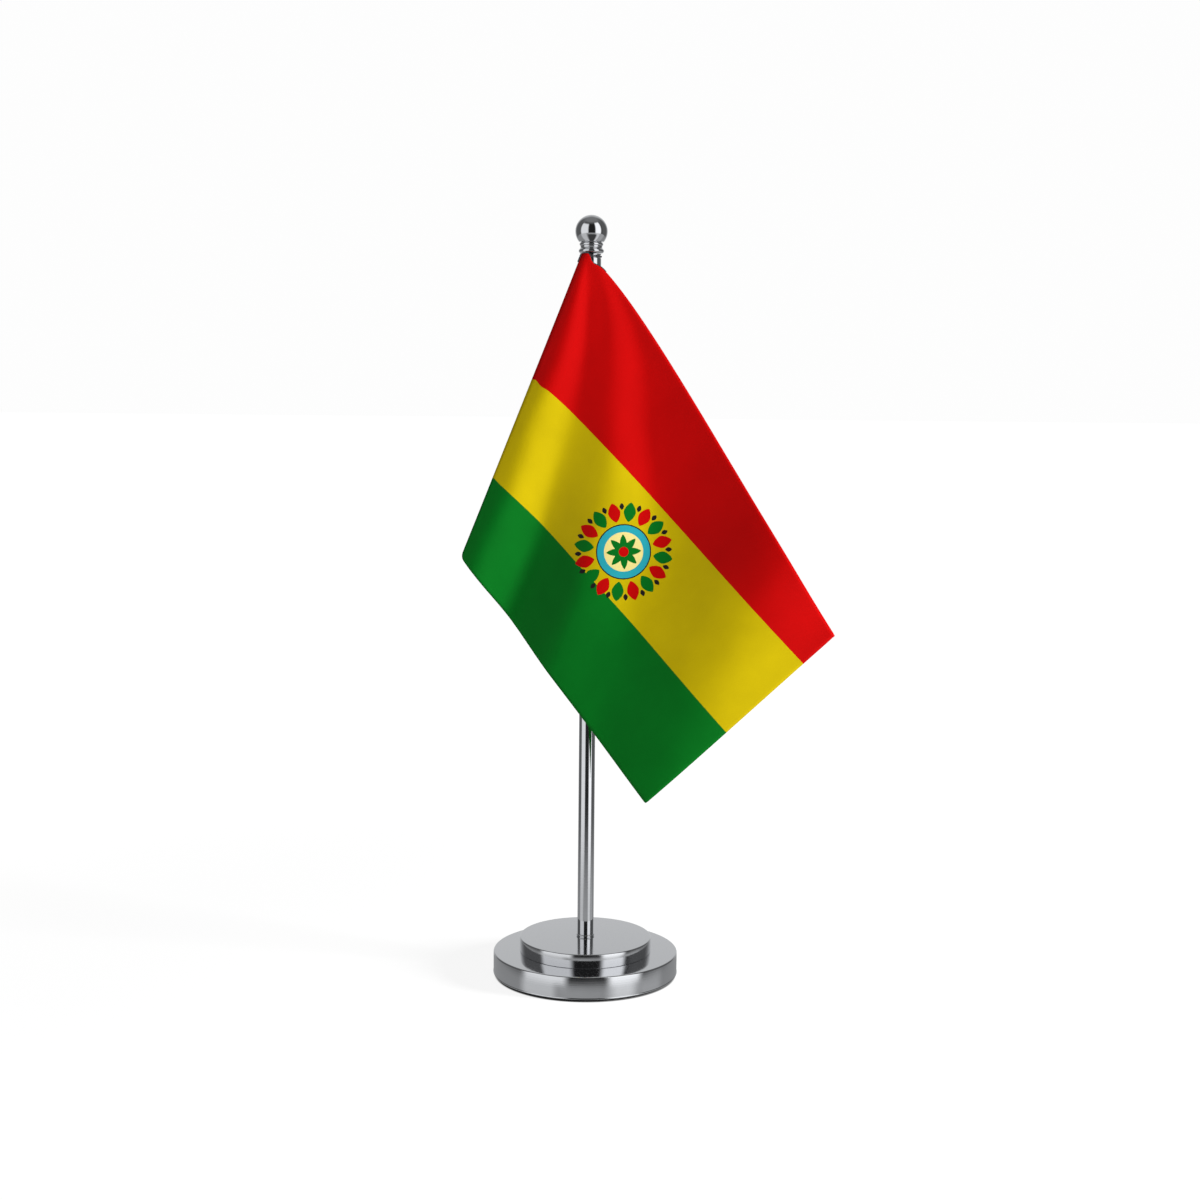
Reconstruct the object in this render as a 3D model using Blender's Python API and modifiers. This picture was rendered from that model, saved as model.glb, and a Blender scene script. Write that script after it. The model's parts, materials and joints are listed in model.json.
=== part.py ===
"""Desk flag stand: a weighted two-step base, a pole with a screw-on finial, and a corner-hung flag.

Units are metres, +Z is up, and the origin is the centre of the base's underside.
The stack is worked out from the table upwards, so each piece sits on the one below it.
"""
import math

import bmesh
import bpy
from mathutils import Matrix, Vector

MM = 0.001               # one millimetre

# Clearances
SEAT = 0.0003            # between pieces that touch
SLIP = 0.00025           # radial, between a thread or spigot and its hole

# Base
BASE_RADIUS = 0.0400
PAD_INSET = 0.0020       # from the base's edge to the pad's
PAD_THICKNESS = 0.0015
BASE_TOP = 0.0108
BASE_RIM = 0.0012        # height of the shell's lower edge
BASE_EDGE = 0.0007       # rounding of the shell's top edge
STEP_RADIUS = 0.0285
STEP_HEIGHT = 0.0058
STEP_EDGE = 0.0006
SHELL_WALL = 0.0008

# Screw (an M3 button head, 20 mm long), washers and pole
SCREW_RADIUS = 0.0015
SCREW_HEAD_RADIUS = 0.00285
SCREW_HEAD_HEIGHT = 0.00165
SCREW_ENGAGEMENT = 0.0065
SOCKET_RADIUS = 0.00115
SOCKET_DEPTH = 0.0010
WASHER_RADIUS = 0.0035
WASHER_THICKNESS = 0.0005
LOCK_WASHER_RADIUS = 0.0031
LOCK_WASHER_THICKNESS = 0.0008
LOCK_WASHER_SPLIT = 0.0007
WEIGHT_WEB = 0.0026      # iron left above the screw's pocket
POLE_RADIUS = 0.0035
POLE_WALL = 0.0006
POLE_LENGTH = 0.2800
PLUG_LENGTH = 0.0090
PLUG_RECESS = 0.0003
RING_LIP = 0.0004        # foot ring, beyond the pole
RING_THICKNESS = 0.0006

# Pole head, finial and hanging loop
HEAD_LIP = 0.00065       # beyond the pole
HEAD_HEIGHT = 0.0110
SPIGOT_LENGTH = 0.0080
GROOVE_WIDTH = 0.0014
GROOVE_DEPTH = 0.00045
GROOVE_DROP = 0.0004     # from the head's top face to the groove
LOOP_CORD_RADIUS = 0.0004
STUD_RADIUS = 0.0020
STUD_PITCH = 0.0007
STUD_TURNS = 6           # turns until the thread lets go
STUD_SPARE = 0.0006
STUD_IN_BALL = 0.0050
LOWER_RING_LIP = 0.00115     # the collar's rings and neck, beyond the pole head
UPPER_RING_LIP = 0.00082
COLLAR_NECK_LIP = 0.00045
LOWER_RING_HEIGHT = 0.0018
UPPER_RING_HEIGHT = 0.0015
COLLAR_NECK_HEIGHT = 0.0011
BALL_RADIUS = 0.00675
BALL_SEAT_RADIUS = 0.0052

# Flag, cut flat, and how it hangs from its top corner
FLAG_HOIST = 0.140
FLAG_FLY = 0.210
STRIPES = 3
CLOTH_THICKNESS = 0.0003
CORNER_X = -0.0021
CORNER_CLEARANCE = 0.0008    # from the cloth's middle layer to the loop, besides its own layers
HOIST_ANGLE = -22.15         # degrees from straight down, seen from the front
HOIST_REACH = 0.974          # hung length of an edge over its flat length
FOLD_ANGLE = 33.83
FOLD_REACH = 0.9055
TOE_ANGLE = 6.73
TOE_REACH = 0.912
STRIPES_ON_HOIST = (0.0, 0.412, 0.7365, 1.0)
STRIPES_ON_FLY = (0.0, 0.1655, 0.5735, 1.0)
TOP_BOW = 0.0160             # how strongly the top edge arches outwards
BOW_RISE = 0.53              # how early the arch rises, and how late it falls
BOW_FALL = 1.74
HOIST_BOW = 0.0018           # how far the hoist edge stands out below the corner
HOIST_BOW_FALL = 1.3         # how fast that fades down the hoist, and along the fly
HOIST_BOW_DEPTH = 16
LEAN = 0.045                 # forward, per metre of drop
# Crests and valleys that run down from the corner: drop, side and forward rise, in millimetres.
EDGE_LINE = ((0, -1.0, 0.0), (30, -14.5, 0.0), (70, -31.5, 0.0), (125, -55.0, 0.0), (220, -95.0, 0.0))
HOIST_CREST = ((0, 0.0, 0.0), (20, -5.2, 0.9), (45, -12.4, 1.6), (70, -22.7, 2.0), (95, -31.0, 2.2),
               (121, -42.5, 2.6), (150, -54.0, 2.6), (220, -82.0, 2.4))
HOIST_VALLEY = ((0, 1.0, 0.0), (20, 1.8, -1.4), (45, 0.5, -2.4), (70, -4.0, -2.8), (96, -12.0, -4.2),
                (121, -18.5, -6.6), (146, -28.0, -7.4), (220, -60.0, -6.0))
MIDDLE_CREST = ((0, 2.0, 0.0), (20, 8.0, -1.8), (45, 9.5, -2.3), (70, 9.0, -1.8), (96, 9.0, -0.7),
                (121, 4.5, 0.6), (146, -2.0, 2.2), (220, -30.0, 2.4))
MIDDLE_VALLEY = ((0, 4.0, 0.0), (20, 17.0, -3.8), (45, 26.0, -5.8), (70, 28.0, -5.8), (96, 31.0, -5.2),
                 (121, 31.0, -3.4), (146, 22.0, -0.4), (172, 12.0, 1.4), (220, -4.0, 2.4))
FLY_CREST = ((0, 10.0, 0.0), (20, 40.0, -3.0), (70, 88.0, 0.0), (96, 94.0, 4.0), (121, 86.0, 8.0),
             (146, 71.0, 8.0), (172, 56.0, 7.6), (197, 44.0, 7.0), (222, 34.0, 6.4))
FLY_LINE = ((0, 20.0, 0.0), (70, 140.0, -4.0), (121, 130.0, 0.0), (146, 118.0, 1.5), (172, 106.0, 0.0),
            (197, 90.0, 0.0), (222, 70.0, 0.0))
CREASES = (EDGE_LINE, HOIST_CREST, HOIST_VALLEY, MIDDLE_CREST, MIDDLE_VALLEY, FLY_CREST, FLY_LINE)
CORD_RADIUS = 0.0003         # corner cord
CORD_DOWN_HOIST = 0.08       # in stripes
CORD_ALONG_TOP = 0.055       # share of the top edge
FLAG_COLUMNS = 20
FLAG_ROWS = 12

# Radii that follow the piece beside them
PAD_RADIUS = BASE_RADIUS - PAD_INSET
RING_RADIUS = POLE_RADIUS + RING_LIP
HEAD_RADIUS = POLE_RADIUS + HEAD_LIP
GROOVE_RADIUS = HEAD_RADIUS - GROOVE_DEPTH
LOOP_RADIUS = GROOVE_RADIUS + SLIP + LOOP_CORD_RADIUS
LOWER_RING_RADIUS = HEAD_RADIUS + LOWER_RING_LIP
UPPER_RING_RADIUS = HEAD_RADIUS + UPPER_RING_LIP
COLLAR_NECK_RADIUS = HEAD_RADIUS + COLLAR_NECK_LIP
SCREW_HOLE = SCREW_RADIUS + SLIP
STUD_HOLE = STUD_RADIUS + SLIP

# Heights, from the table up
STEP_FOOT = BASE_TOP + SEAT
STEP_TOP = STEP_FOOT + STEP_HEIGHT
RING_FOOT = STEP_TOP + SEAT
POLE_FOOT = RING_FOOT + RING_THICKNESS + SEAT
POLE_TOP = POLE_FOOT + POLE_LENGTH
HEAD_FOOT = POLE_TOP + SEAT
HEAD_TOP = HEAD_FOOT + HEAD_HEIGHT
COLLAR_FOOT = HEAD_TOP + SEAT
COLLAR_TOP = COLLAR_FOOT + LOWER_RING_HEIGHT + COLLAR_NECK_HEIGHT + UPPER_RING_HEIGHT
BALL_FOOT = COLLAR_TOP + SEAT
BALL_CENTRE = BALL_FOOT + math.sqrt(BALL_RADIUS ** 2 - BALL_SEAT_RADIUS ** 2)
LOOP_HEIGHT = HEAD_TOP - GROOVE_DROP - GROOVE_WIDTH / 2

# Where the flag hangs
LAYER_STEP = CLOTH_THICKNESS + SEAT
LOOP_OUTSIDE = LOOP_RADIUS + LOOP_CORD_RADIUS
CORNER = Vector((CORNER_X, -(LOOP_OUTSIDE + CORNER_CLEARANCE + LAYER_STEP / 2), HEAD_TOP - SEAT))

DISC_STEPS = 48
ROUND_STEPS = 32
SMALL_STEPS = 24
MERGE = 0.00001


def fresh_scene():
    for old in list(bpy.data.objects):
        bpy.data.objects.remove(old, do_unlink=True)


def collection(name):
    made = bpy.data.collections.new(name)
    bpy.context.scene.collection.children.link(made)
    return made


fresh_scene()
PARTS = collection("desk_flag_stand")
CUTTERS = collection("cutters")


def material(name, colour, roughness, metallic):
    made = bpy.data.materials.new(name)
    made.use_nodes = True
    shader = made.node_tree.nodes["Principled BSDF"]
    shader.inputs["Base Color"].default_value = (*colour, 1.0)
    shader.inputs["Roughness"].default_value = roughness
    shader.inputs["Metallic"].default_value = metallic
    made.diffuse_color = (*colour, 1.0)
    return made


def add(name, mesh, finish):
    made = bpy.data.objects.new(name, mesh)
    mesh.materials.append(finish)
    PARTS.objects.link(made)
    return made


def move_to(made, home):
    for old in list(made.users_collection):
        old.objects.unlink(made)
    home.objects.link(made)


def adopt(name, finish):
    """Names the primitive just added and puts it with the parts."""
    made = bpy.context.object
    made.name = name
    made.data.materials.append(finish)
    move_to(made, PARTS)
    return made


def arc(centre, radius, start, end, steps):
    """Points (r, z) on an arc; angles in degrees, 0 points outwards and 90 up."""
    angles = [math.radians(start + (end - start) * i / steps) for i in range(steps + 1)]
    return [(centre[0] + radius * math.cos(a), centre[1] + radius * math.sin(a)) for a in angles]


def turned(name, outline, finish, steps, closed=True):
    """A solid turned round Z. The outline runs down the outer side; closed joins its ends."""
    mesh = bpy.data.meshes.new(name)
    count = len(outline)
    edges = [(i, i + 1) for i in range(count - 1)]
    if closed:
        edges.append((count - 1, 0))
    mesh.from_pydata([(r, 0.0, z) for r, z in outline], edges, [])
    made = add(name, mesh, finish)
    screw = made.modifiers.new("Turn", "SCREW")
    screw.axis = "Z"
    screw.angle = math.tau
    screw.steps = steps
    screw.render_steps = steps
    screw.use_merge_vertices = True
    screw.merge_threshold = MERGE
    screw.use_smooth_shade = True
    return made


def shell(name, outline, wall, finish, steps):
    """A turned skin thickened inwards."""
    made = turned(name, outline, finish, steps, closed=False)
    thick = made.modifiers.new("Wall", "SOLIDIFY")
    thick.thickness = wall
    thick.offset = -1.0
    thick.use_even_offset = True
    return made


def bored_disc(name, radius, bore, foot, top, finish, steps):
    outline = [(bore, top), (radius, top), (radius, foot), (bore, foot)]
    return turned(name, outline, finish, steps)


def cut(target, name):
    """Cuts the primitive just added out of a part."""
    cutter = bpy.context.object
    cutter.name = name
    move_to(cutter, CUTTERS)
    cutter.hide_render = True
    cutter.display_type = "WIRE"
    boolean = target.modifiers.new("Cut", "BOOLEAN")
    boolean.operation = "DIFFERENCE"
    boolean.solver = "EXACT"
    boolean.object = cutter


# Base -------------------------------------------------------------------------------------------

SCREW_CEILING = BASE_TOP - SHELL_WALL - SEAT - WEIGHT_WEB
WASHER_TOP = SCREW_CEILING - SEAT
LOCK_TOP = WASHER_TOP - WASHER_THICKNESS - SEAT
SCREW_SEAT = LOCK_TOP - LOCK_WASHER_THICKNESS - SEAT


def base():
    steel = material("brushed_steel", (0.62, 0.62, 0.63), 0.28, 1.0)
    iron = material("cast_iron", (0.10, 0.10, 0.11), 0.75, 0.6)
    foam = material("pad_foam", (0.02, 0.02, 0.02), 0.9, 0.0)
    zinc = material("zinc_plate", (0.70, 0.71, 0.72), 0.35, 1.0)

    bpy.ops.mesh.primitive_cylinder_add(
        vertices=DISC_STEPS, radius=PAD_RADIUS, depth=PAD_THICKNESS, location=(0, 0, PAD_THICKNESS / 2))
    adopt("base_pad", foam)

    rim = arc((BASE_RADIUS - BASE_EDGE, BASE_TOP - BASE_EDGE), BASE_EDGE, 90, 0, 3)
    shell("base_cap", [(SCREW_HOLE, BASE_TOP), *rim, (BASE_RADIUS, BASE_RIM)], SHELL_WALL, steel, DISC_STEPS)
    rim = arc((STEP_RADIUS - STEP_EDGE, STEP_TOP - STEP_EDGE), STEP_EDGE, 90, 0, 3)
    shell("step_cap", [(SCREW_HOLE, STEP_TOP), *rim, (STEP_RADIUS, STEP_FOOT)], SHELL_WALL, steel, DISC_STEPS)

    pocket = WASHER_RADIUS + SEAT
    radius = BASE_RADIUS - SHELL_WALL - SEAT
    top = BASE_TOP - SHELL_WALL - SEAT
    foot = PAD_THICKNESS + SEAT
    outline = [(SCREW_HOLE, top), (radius - BASE_EDGE, top), (radius, top - BASE_EDGE), (radius, foot),
               (pocket, foot), (pocket, SCREW_CEILING), (SCREW_HOLE, SCREW_CEILING)]
    turned("base_weight", outline, iron, DISC_STEPS)
    radius = STEP_RADIUS - SHELL_WALL - SEAT
    top = STEP_TOP - SHELL_WALL - SEAT
    outline = [(SCREW_HOLE, top), (radius - STEP_EDGE, top), (radius, top - STEP_EDGE), (radius, STEP_FOOT),
               (SCREW_HOLE, STEP_FOOT)]
    turned("step_weight", outline, iron, DISC_STEPS)

    bored_disc("base_washer", WASHER_RADIUS, SCREW_HOLE, WASHER_TOP - WASHER_THICKNESS, WASHER_TOP,
               zinc, SMALL_STEPS)
    spring = bored_disc("lock_washer", LOCK_WASHER_RADIUS, SCREW_HOLE, LOCK_TOP - LOCK_WASHER_THICKNESS,
                        LOCK_TOP, zinc, SMALL_STEPS)
    bpy.ops.mesh.primitive_cube_add(size=1, location=(WASHER_RADIUS / 2, 0, LOCK_TOP - LOCK_WASHER_THICKNESS / 2))
    bpy.context.object.scale = (WASHER_RADIUS, LOCK_WASHER_SPLIT, LOCK_WASHER_THICKNESS * 2)
    cut(spring, "washer_split")

    tip = POLE_FOOT + PLUG_RECESS + SCREW_ENGAGEMENT
    head_foot = SCREW_SEAT - SCREW_HEAD_HEIGHT
    crown = SCREW_HEAD_HEIGHT / 2
    outline = [(0, tip), (SCREW_RADIUS, tip), (SCREW_RADIUS, SCREW_SEAT), (SCREW_HEAD_RADIUS, SCREW_SEAT),
               *arc((SCREW_HEAD_RADIUS - crown, head_foot + crown), crown, 0, -90, 3), (0, head_foot)]
    screw = turned("base_screw", outline, zinc, SMALL_STEPS, closed=False)
    bpy.ops.mesh.primitive_cylinder_add(
        vertices=6, radius=SOCKET_RADIUS, depth=SOCKET_DEPTH * 2, location=(0, 0, head_foot))
    cut(screw, "screw_socket")


# Pole -------------------------------------------------------------------------------------------

def pole():
    chrome = material("polished_steel", (0.66, 0.66, 0.68), 0.10, 1.0)
    brass = material("plug_brass", (0.75, 0.58, 0.28), 0.35, 1.0)
    bore = POLE_RADIUS - POLE_WALL
    bored_disc("foot_ring", RING_RADIUS, SCREW_HOLE, RING_FOOT, RING_FOOT + RING_THICKNESS, chrome, ROUND_STEPS)
    bored_disc("pole_tube", POLE_RADIUS, bore, POLE_FOOT, POLE_TOP, chrome, ROUND_STEPS)
    plug_foot = POLE_FOOT + PLUG_RECESS
    bored_disc("pole_plug", bore - SLIP, SCREW_HOLE, plug_foot, plug_foot + PLUG_LENGTH, brass, SMALL_STEPS)

    groove_top = HEAD_TOP - GROOVE_DROP
    groove_foot = groove_top - GROOVE_WIDTH
    hole_foot = HEAD_TOP - STUD_TURNS * STUD_PITCH - STUD_SPARE - SEAT
    spigot = bore - SLIP
    outline = [(0, hole_foot), (STUD_HOLE, hole_foot), (STUD_HOLE, HEAD_TOP), (HEAD_RADIUS, HEAD_TOP),
               (HEAD_RADIUS, groove_top), (GROOVE_RADIUS, groove_top), (GROOVE_RADIUS, groove_foot),
               (HEAD_RADIUS, groove_foot), (HEAD_RADIUS, HEAD_FOOT), (spigot, HEAD_FOOT),
               (spigot, HEAD_FOOT - SPIGOT_LENGTH), (0, HEAD_FOOT - SPIGOT_LENGTH)]
    turned("pole_head", outline, chrome, ROUND_STEPS, closed=False)


# Finial: it unscrews as the joint finial_turn turns and finial_lift follows ----------------------

def ring_side(radius, foot, height):
    """The rounded outer side of a collar ring, from its top down."""
    half = height / 2
    return arc((radius - half, foot + half), half, 75, -75, 4)


def finial():
    chrome = material("finial_steel", (0.66, 0.66, 0.68), 0.08, 1.0)
    zinc = material("stud_zinc", (0.70, 0.71, 0.72), 0.35, 1.0)

    upper_foot = COLLAR_TOP - UPPER_RING_HEIGHT
    neck_foot = COLLAR_FOOT + LOWER_RING_HEIGHT
    inner = COLLAR_NECK_RADIUS - STUD_RADIUS
    outline = [(STUD_HOLE, COLLAR_TOP), (STUD_HOLE + inner / 2, COLLAR_TOP),
               *ring_side(UPPER_RING_RADIUS, upper_foot, UPPER_RING_HEIGHT),
               (COLLAR_NECK_RADIUS, upper_foot), (COLLAR_NECK_RADIUS, neck_foot),
               *ring_side(LOWER_RING_RADIUS, COLLAR_FOOT, LOWER_RING_HEIGHT),
               (STUD_HOLE + inner / 2, COLLAR_FOOT), (STUD_HOLE, COLLAR_FOOT)]
    collar = turned("finial_collar", outline, chrome, ROUND_STEPS)

    seat_angle = -math.degrees(math.acos(BALL_SEAT_RADIUS / BALL_RADIUS))
    hole_top = BALL_FOOT + STUD_IN_BALL + SEAT
    outline = [*arc((0, BALL_CENTRE), BALL_RADIUS, 90, seat_angle, 10), (STUD_HOLE, BALL_FOOT),
               (STUD_HOLE, hole_top), (0, hole_top)]
    outline[0] = (0, BALL_CENTRE + BALL_RADIUS)
    ball = turned("finial_ball", outline, chrome, ROUND_STEPS, closed=False)

    stud_foot = HEAD_TOP - STUD_TURNS * STUD_PITCH - STUD_SPARE
    stud_top = BALL_FOOT + STUD_IN_BALL
    outline = [(0, stud_top), (STUD_RADIUS, stud_top), (STUD_RADIUS, stud_foot), (0, stud_foot)]
    stud = turned("finial_stud", outline, zinc, SMALL_STEPS, closed=False)

    lift = hang_on("finial_lift", (0.0, 0.0, COLLAR_FOOT), [collar])
    turn = hang_on("finial_turn", (0.0, 0.0, BALL_FOOT), [ball, stud])
    turn.parent = lift
    turn.matrix_parent_inverse = Matrix.Translation((0.0, 0.0, -COLLAR_FOOT))


# Flag -------------------------------------------------------------------------------------------

def ray(angle, reach):
    """A point below the flag's corner, in the plane of the front: x across, z up."""
    turn = math.radians(angle)
    return Vector((reach * math.sin(turn), 0.0, -reach * math.cos(turn)))


HOIST_END = ray(HOIST_ANGLE, HOIST_REACH * FLAG_HOIST)
FOLD_END = ray(FOLD_ANGLE, FOLD_REACH * FLAG_FLY)
TOE_END = ray(TOE_ANGLE, TOE_REACH * math.hypot(FLAG_HOIST, FLAG_FLY))


def between(values, stripe):
    """Where a stripe line (0 to 3) comes on an edge, as a share of that edge."""
    index = min(int(stripe), len(values) - 2)
    return values[index] + (values[index + 1] - values[index]) * (stripe - index)


def smooth(value):
    value = min(1.0, max(0.0, value))
    return value * value * (3 - 2 * value)


def on_line(line, drop):
    """Side and forward rise of a crease at this drop, on a smooth curve through its points."""
    last = len(line) - 2
    index = next((i for i in range(last) if drop <= line[i + 1][0]), last)
    start, end = line[index], line[index + 1]
    before = line[max(0, index - 1)]
    after = line[min(last + 1, index + 2)]
    span = end[0] - start[0]
    share = min(1.0, max(0.0, (drop - start[0]) / span))
    square = share ** 2
    cube = share ** 3
    result = []
    for value in (1, 2):
        leave = (end[value] - before[value]) / (end[0] - before[0])
        arrive = (after[value] - start[value]) / (after[0] - start[0])
        result.append((2 * cube - 3 * square + 1) * start[value] + (cube - 2 * square + share) * span * leave
                      + (3 * square - 2 * cube) * end[value] + (cube - square) * span * arrive)
    return result


def forward(side, drop):
    """How far the cloth stands in front of its corner."""
    places = [on_line(line, drop / MM) for line in CREASES]
    for (start, low), (end, high) in zip(places, places[1:]):
        if side / MM <= end:
            return (low + (high - low) * smooth((side / MM - start) / (end - start))) * MM + LEAN * drop
    return places[-1][1] * MM + LEAN * drop


def hung(along, stripe):
    """The middle of the cloth: along runs from hoist to fly, stripe from the top edge (0) to the bottom (3)."""
    on_hoist = HOIST_END * between(STRIPES_ON_HOIST, stripe)
    on_fly = FOLD_END.lerp(TOE_END, between(STRIPES_ON_FLY, stripe))
    flat = on_hoist.lerp(on_fly, along)
    outwards = Vector((math.cos(math.radians(FOLD_ANGLE)), 0.0, math.sin(math.radians(FOLD_ANGLE))))
    up = 1 - stripe / STRIPES
    flat += outwards * TOP_BOW * along ** BOW_RISE * (1 - along) ** BOW_FALL * up ** 2
    flat.x -= HOIST_BOW * up ** HOIST_BOW_FALL * (1 - along) ** HOIST_BOW_DEPTH
    return CORNER + flat + Vector((0.0, -forward(flat.x, -flat.z), 0.0))


def cloth_layer(name, offset, finish):
    """One layer of the flag; offset is from the middle layer towards the front."""
    grid = bmesh.new()
    bmesh.ops.create_grid(grid, x_segments=FLAG_COLUMNS, y_segments=FLAG_ROWS, size=0.5)
    for point in grid.verts:
        point.co = hung(point.co.x + 0.5, (0.5 - point.co.y) * STRIPES)
    grid.normal_update()
    shift = [point.normal * offset for point in grid.verts]
    for point, move in zip(grid.verts, shift):
        point.co += move
    mesh = bpy.data.meshes.new(name)
    grid.to_mesh(mesh)
    grid.free()
    mesh.shade_smooth()
    made = add(name, mesh, finish)
    thick = made.modifiers.new("Cloth", "SOLIDIFY")
    thick.thickness = CLOTH_THICKNESS
    thick.offset = 0.0
    return made


def wire(name, points, radius, finish):
    """A round cord through these points."""
    curve = bpy.data.curves.new(name, "CURVE")
    curve.dimensions = "3D"
    curve.bevel_depth = radius
    curve.bevel_resolution = 2
    curve.use_fill_caps = True
    line = curve.splines.new("POLY")
    line.points.add(len(points) - 1)
    for place, point in zip(line.points, points):
        place.co = (*point, 1.0)
    made = bpy.data.objects.new(name, curve)
    curve.materials.append(finish)
    PARTS.objects.link(made)
    return made


def hang_on(name, place, parts):
    """Parents the parts, where they are, to an empty on their joint's axis."""
    pivot = bpy.data.objects.new(name, None)
    pivot.location = place
    pivot.empty_display_size = POLE_RADIUS
    PARTS.objects.link(pivot)
    for part in parts:
        part.parent = pivot
        part.matrix_parent_inverse = Matrix.Translation(-Vector(place))
    return pivot


def flag():
    satin = material("printed_satin", (0.72, 0.06, 0.05), 0.45, 0.0)
    lining = material("lining", (0.85, 0.84, 0.80), 0.8, 0.0)
    cord = material("dark_cord", (0.05, 0.05, 0.05), 0.8, 0.0)
    layers = [
        cloth_layer("flag_front", LAYER_STEP, satin),
        cloth_layer("flag_lining", 0.0, lining),
        cloth_layer("flag_back", -LAYER_STEP, satin),
    ]

    bpy.ops.mesh.primitive_torus_add(
        major_radius=LOOP_RADIUS, minor_radius=LOOP_CORD_RADIUS, major_segments=ROUND_STEPS, minor_segments=8,
        location=(0, 0, LOOP_HEIGHT))
    loop = adopt("hanging_loop", cord)
    loop.data.shade_smooth()

    forward = LAYER_STEP + CLOTH_THICKNESS / 2 + SEAT + CORD_RADIUS
    front = Vector((0.0, -forward, 0.0))
    left = [hung(0.0, CORD_DOWN_HOIST * share) + front for share in (1.0, 0.5)]
    right = [hung(CORD_ALONG_TOP * share, 0.0) + front for share in (0.25, 0.5, 1.0)]
    tip = CORNER + front + Vector((0.0, 0.0, -2 * CORD_RADIUS))
    binding = wire("corner_cord", [*left, tip, *right], CORD_RADIUS, cord)

    swivel = hang_on("flag_swivel", (0.0, 0.0, LOOP_HEIGHT), [loop])
    swing = hang_on("flag_swing", CORNER, [*layers, binding])
    swing.parent = swivel
    swing.matrix_parent_inverse = Matrix.Translation((0.0, 0.0, -LOOP_HEIGHT))


base()
pole()
finial()
flag()
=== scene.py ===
"""Looks of the desk flag stand: spun steel base, polished pole and finial, twisted cords, satin flag."""
import json
import math

import bmesh
import bpy
from mathutils import Matrix, Vector


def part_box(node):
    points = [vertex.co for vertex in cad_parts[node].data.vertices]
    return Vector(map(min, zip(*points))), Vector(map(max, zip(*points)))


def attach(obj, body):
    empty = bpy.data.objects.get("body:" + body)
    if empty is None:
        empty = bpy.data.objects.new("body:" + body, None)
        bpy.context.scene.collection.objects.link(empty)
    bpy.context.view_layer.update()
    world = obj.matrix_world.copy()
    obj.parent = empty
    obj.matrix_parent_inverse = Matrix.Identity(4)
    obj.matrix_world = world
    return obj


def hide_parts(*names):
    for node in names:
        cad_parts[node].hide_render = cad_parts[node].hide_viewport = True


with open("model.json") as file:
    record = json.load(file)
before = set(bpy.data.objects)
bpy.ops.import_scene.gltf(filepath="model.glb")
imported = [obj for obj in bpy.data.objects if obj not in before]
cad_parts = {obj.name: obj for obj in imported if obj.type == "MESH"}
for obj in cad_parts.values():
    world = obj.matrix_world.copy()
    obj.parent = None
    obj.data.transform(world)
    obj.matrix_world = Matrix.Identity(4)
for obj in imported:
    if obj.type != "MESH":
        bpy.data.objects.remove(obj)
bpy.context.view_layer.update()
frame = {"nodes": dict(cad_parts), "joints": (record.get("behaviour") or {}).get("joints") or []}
JOINTS = {joint["name"]: joint for joint in frame["joints"]}
MM = 0.001

# --------------------------------------------------------------------------------------------------
# Sizes read from the frame, and the ones that the pieces share


def radius_of(solid):
    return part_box(solid)[1].x


def foot_of(solid):
    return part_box(solid)[0].z


def top_of(solid):
    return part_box(solid)[1].z


def middle_of(solid):
    return (foot_of(solid) + top_of(solid)) / 2


SEAT = 0.3 * MM                 # the gap the solids keep, closed here where metal rests on metal
TOUCH = 0.02 * MM               # what is left of it
SHELL = 0.8 * MM                # wall of the two base shells
SCREW_HOLE = 1.8 * MM           # radius of the holes that the base screw passes
STUD_HOLE = 2.25 * MM           # radius of the holes that the finial stud passes
POLE_EDGE = 0.12 * MM           # chamfer at the ends of the pole and its socket
MERGE = 1e-7

# --------------------------------------------------------------------------------------------------
# Camera

CAMERA_PLACE = (0.0050, -0.777, 0.2505)
CAMERA_PITCH, CAMERA_ROLL = math.radians(6.36), math.radians(0.545)
LENS, SENSOR = 54.95, 36.0


def placed(name, data):
    made = bpy.data.objects.new(name, data)
    bpy.context.scene.collection.objects.link(made)
    return made


def camera():
    data = bpy.data.cameras.new("camera")
    data.sensor_width = SENSOR
    data.lens = LENS
    data.clip_start = 0.01
    data.clip_end = 50.0
    made = placed("camera", data)
    turn = Matrix.Rotation(math.radians(90) - CAMERA_PITCH, 4, "X") @ Matrix.Rotation(CAMERA_ROLL, 4, "Z")
    made.matrix_world = Matrix.Translation(CAMERA_PLACE) @ turn
    bpy.context.scene.camera = made


# --------------------------------------------------------------------------------------------------
# Building blocks of the finishes and of the studio


def nodes_of(material):
    material.use_nodes = True
    tree = material.node_tree
    return tree, tree.nodes["Principled BSDF"]


def node(tree, kind, inputs=(), **settings):
    """Adds a node, sets its attributes, and links or sets its inputs by name or index."""
    made = tree.nodes.new(kind)
    for name, value in settings.items():
        setattr(made, name, value)
    for name, value in dict(inputs).items():
        socket = made.inputs[name]
        if isinstance(value, bpy.types.NodeSocket):
            tree.links.new(value, socket)
        else:
            socket.default_value = value
    return made


def maths(tree, operation, first, second=0.0):
    return node(tree, "ShaderNodeMath", {0: first, 1: second}, operation=operation).outputs[0]


def reach_from_middle(tree, x, y):
    square = maths(tree, "ADD", maths(tree, "MULTIPLY", x, x), maths(tree, "MULTIPLY", y, y))
    return maths(tree, "SQRT", square)


def ramp(tree, value, start, end, low=0.0, high=1.0, kind="SMOOTHSTEP"):
    """Goes from low to high while value goes from start to end."""
    spread = {0: value, 1: start, 2: end, 3: low, 4: high}
    return node(tree, "ShaderNodeMapRange", spread, interpolation_type=kind).outputs[0]


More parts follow.
